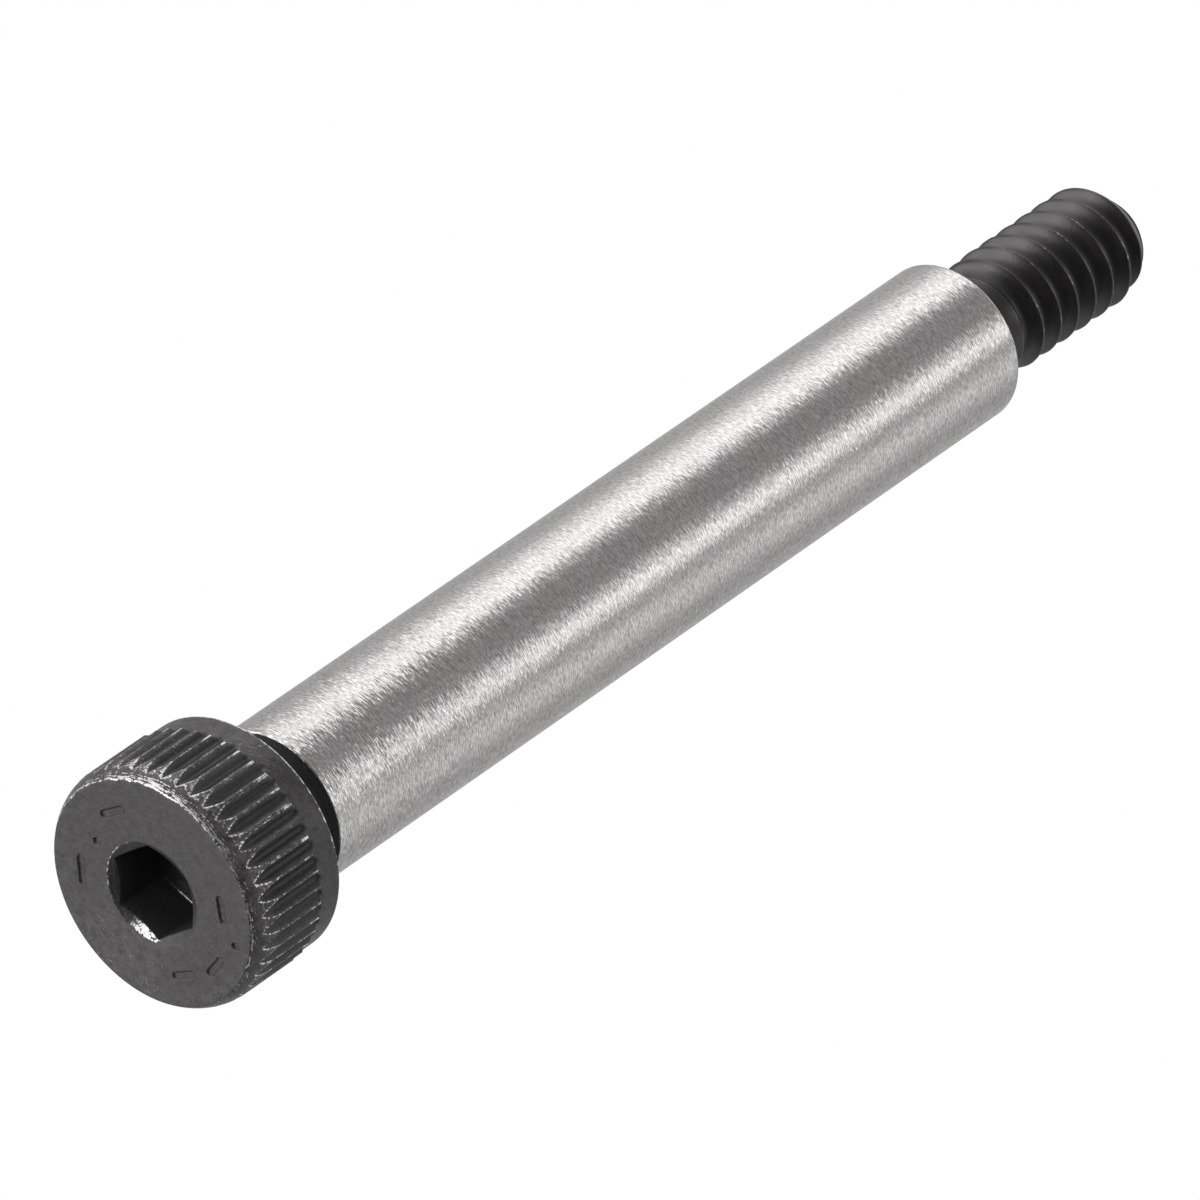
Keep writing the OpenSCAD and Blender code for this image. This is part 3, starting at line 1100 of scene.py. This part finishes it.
# Soft lamps: azimuth and elevation seen from the bolt; distance and size in metres
lamps = {
    "key": {"azimuth": -53, "elevation": 12, "distance": 0.6, "width": 0.5, "height": 0.9, "bright": 1.9},
    "below": {"azimuth": -20, "elevation": -60, "distance": 0.6, "width": 0.5, "height": 0.5, "bright": 2.6},
    "right": {"azimuth": 110, "elevation": 30, "distance": 0.6, "width": 0.4, "height": 0.8, "bright": 0.6},
    "back": {"azimuth": 200, "elevation": 40, "distance": 0.6, "width": 0.5, "height": 0.6, "bright": 0.6},
}
lampAim = Vector((0, 0, 0.025))
softFill = 0.3  # what the white surroundings give to dull surfaces


def makeLamps():
    for name, spot in lamps.items():
        data = bpy.data.lights.new(name, "AREA")
        data.shape = "RECTANGLE"
        data.size, data.size_y = spot["width"], spot["height"]
        data.energy = spot["bright"] * math.pi * spot["width"] * spot["height"]
        lamp = bpy.data.objects.new(name, data)
        out = direction(spot["azimuth"], spot["elevation"])
        place = out * spot["distance"] + lampAim
        lamp.matrix_world = Matrix.Translation(place) @ out.to_track_quat("Z", "Y").to_matrix().to_4x4()
        lamp.visible_camera = lamp.visible_glossy = False
        scene.collection.objects.link(lamp)
    print("lamps:", len(lamps))


# Screens round the bolt that only its gloss shows, as one tent
tent = {
    "radius": 0.75,
    "azimuthStep": 3.0,
    "elevationStep": 6.0,
    "top": 72,
    "upper": [  # azimuth and brightness
        (-180, 0.57), (-166, 0.42), (-150, 0.58), (-120, 0.46), (-96, 0.55), (-80, 0.80),
        (-68, 1.35), (-40, 1.60), (-31, 0.60), (-22, 0.30), (20, 0.33), (33, 0.70), (43, 1.45),
        (54, 1.30), (64, 0.45), (74, 0.45), (90, 0.88), (104, 0.78), (130, 0.42), (150, 0.46),
        (180, 0.57),
    ],
    "lower": [
        (-180, 1.8), (-160, 1.95), (-140, 1.75), (-120, 1.45), (-100, 2.3), (-58, 2.8),
        (-36, 0.85), (-10, 0.12), (20, 0.04), (110, 0.04), (140, 0.2), (160, 1.2), (180, 1.8),
    ],
    "lowerTop": [  # azimuth, and the elevation that the lower screens reach up to
        (-140, -50), (-125, -25), (-100, -25), (-85, -45), (-60, -50), (0, -25), (130, -25),
        (170, -50),
    ],
    "blend": 28,  # degrees over which they pass into the upper ones
    "bottomFade": (-82, -62),
    "bottom": 0.05,
}


def makeScreens():
    azimuths = np.arange(-180, 180 + 1, tent["azimuthStep"])
    elevations = np.arange(-90, tent["top"] + 1, tent["elevationStep"])
    upper = np.interp(azimuths, *zip(*tent["upper"]))
    lower = np.interp(azimuths, *zip(*tent["lower"]))
    lowerTop = np.interp(azimuths, *zip(*tent["lowerTop"]))
    points, faces, bright = [], [], []
    for elevation in elevations:
        points += [tuple(direction(azimuth, elevation) * tent["radius"]) for azimuth in azimuths]
        high = smoothStep(0, 1, (elevation - lowerTop) / tent["blend"])
        deep = 1 - smoothStep(*tent["bottomFade"], elevation)
        bright += list(lower + (upper - lower) * high + (tent["bottom"] - lower) * deep)
    count = len(azimuths)
    for row in range(len(elevations) - 1):
        for i in range(row * count, row * count + count - 1):
            faces.append((i, i + 1, i + 1 + count, i + count))
    mesh = bpy.data.meshes.new("screens")
    mesh.from_pydata(points, [], faces)
    glow = mesh.attributes.new("glow", "FLOAT", "POINT")
    glow.data.foreach_set("value", np.array(bright, np.float32))
    material = bpy.data.materials.new("screenGlow")
    tree = emptyTree(material)
    shine = glowing(tree, readPoints(tree, "glow"))
    addNode(tree, "ShaderNodeOutputMaterial", {"Surface": shine})
    mesh.materials.append(material)
    screens = bpy.data.objects.new("screens", mesh)
    screens.visible_camera = screens.visible_diffuse = screens.visible_shadow = False
    screens.visible_transmission = False
    scene.collection.objects.link(screens)
    print("screens:", len(faces))


def makeWorld(soft):
    world = bpy.data.worlds.new("studio")
    tree = emptyTree(world)
    path = addNode(tree, "ShaderNodeLightPath").outputs
    seen = calculate(tree, "MAXIMUM", path["Is Camera Ray"], path["Is Glossy Ray"])
    seen = calculate(tree, "MAXIMUM", seen, path["Is Transmission Ray"])
    strength = remap(tree, seen, 0, 1, soft, 1.0)
    glow = addNode(tree, "ShaderNodeBackground", {"Color": grey(1.0), "Strength": strength})
    addNode(tree, "ShaderNodeOutputWorld", {"Surface": glow.outputs[0]})
    scene.world = world


# Floor: pale, and seen only from above, so that the camera below looks past it.
# It takes the bolt's shadow, and far away it fades into the white behind it. Sizes in metres.
floorLook = {
    "pale": grey(0.86),
    "lift": 0.4,  # of the way to white, for the camera alone
    "half": 8.0,  # from its middle to its edges
    "drop": 0.00005,
    "fadeStart": 0.1,
    "fadeEnd": 0.5,
}


def makeFloor():
    half = floorLook["half"]
    mesh = bpy.data.meshes.new("floor")
    corners = [(-half, -half, 0), (half, -half, 0), (half, half, 0), (-half, half, 0)]
    mesh.from_pydata(corners, [], [(0, 1, 2, 3)])
    material = bpy.data.materials.new("paleFloor")
    tree = emptyTree(material)
    seen = addNode(tree, "ShaderNodeLightPath").outputs["Is Camera Ray"]
    pale = addNode(tree, "ShaderNodeBsdfDiffuse", {"Color": floorLook["pale"]}).outputs[0]
    lift = glowing(tree, calculate(tree, "MULTIPLY", seen, floorLook["lift"]))
    pale = addNode(tree, "ShaderNodeAddShader", {0: pale, 1: lift}).outputs[0]
    spot = addNode(tree, "ShaderNodeNewGeometry").outputs
    away = addNode(tree, "ShaderNodeVectorMath", {0: spot["Position"]}, operation="LENGTH").outputs[1]
    far = remap(tree, away, floorLook["fadeStart"], floorLook["fadeEnd"])
    faded = addNode(tree, "ShaderNodeMixShader", {0: far, 1: pale, 2: glowing(tree, seen)}).outputs[0]
    clear = addNode(tree, "ShaderNodeBsdfTransparent").outputs[0]
    mix = addNode(tree, "ShaderNodeMixShader", {0: spot["Backfacing"], 1: faded, 2: clear})
    addNode(tree, "ShaderNodeOutputMaterial", {"Surface": mix.outputs[0]})
    mesh.materials.append(material)
    floor = bpy.data.objects.new("floor", mesh)
    floor.location.z = -floorLook["drop"]
    floor.visible_diffuse = floor.visible_glossy = False
    floor.visible_shadow = floor.visible_transmission = False
    scene.collection.objects.link(floor)
    print("floor laid")


scene.view_settings.view_transform = "Standard"
groups = {"speckle": makeSpeckle(), "worn": makeWorn(), "lines": makeTurnedLines()}
headOxide = blackOxide("headOxide", groups, headOxideLook)
shadedRecessOxide = blackOxide("shadedRecessOxide", groups, shadedRecessOxideLook)
threadOxide = blackOxide("threadOxide", groups, threadOxideLook)
steel = groundSteel("groundSteel", groups, groundSteelLook)
makeHead([headOxide, shadedRecessOxide])
makeShoulder([steel])
makeThread([threadOxide, shadedRecessOxide])
makeCamera()
makeLamps()
makeScreens()
makeWorld(softFill)
makeFloor()
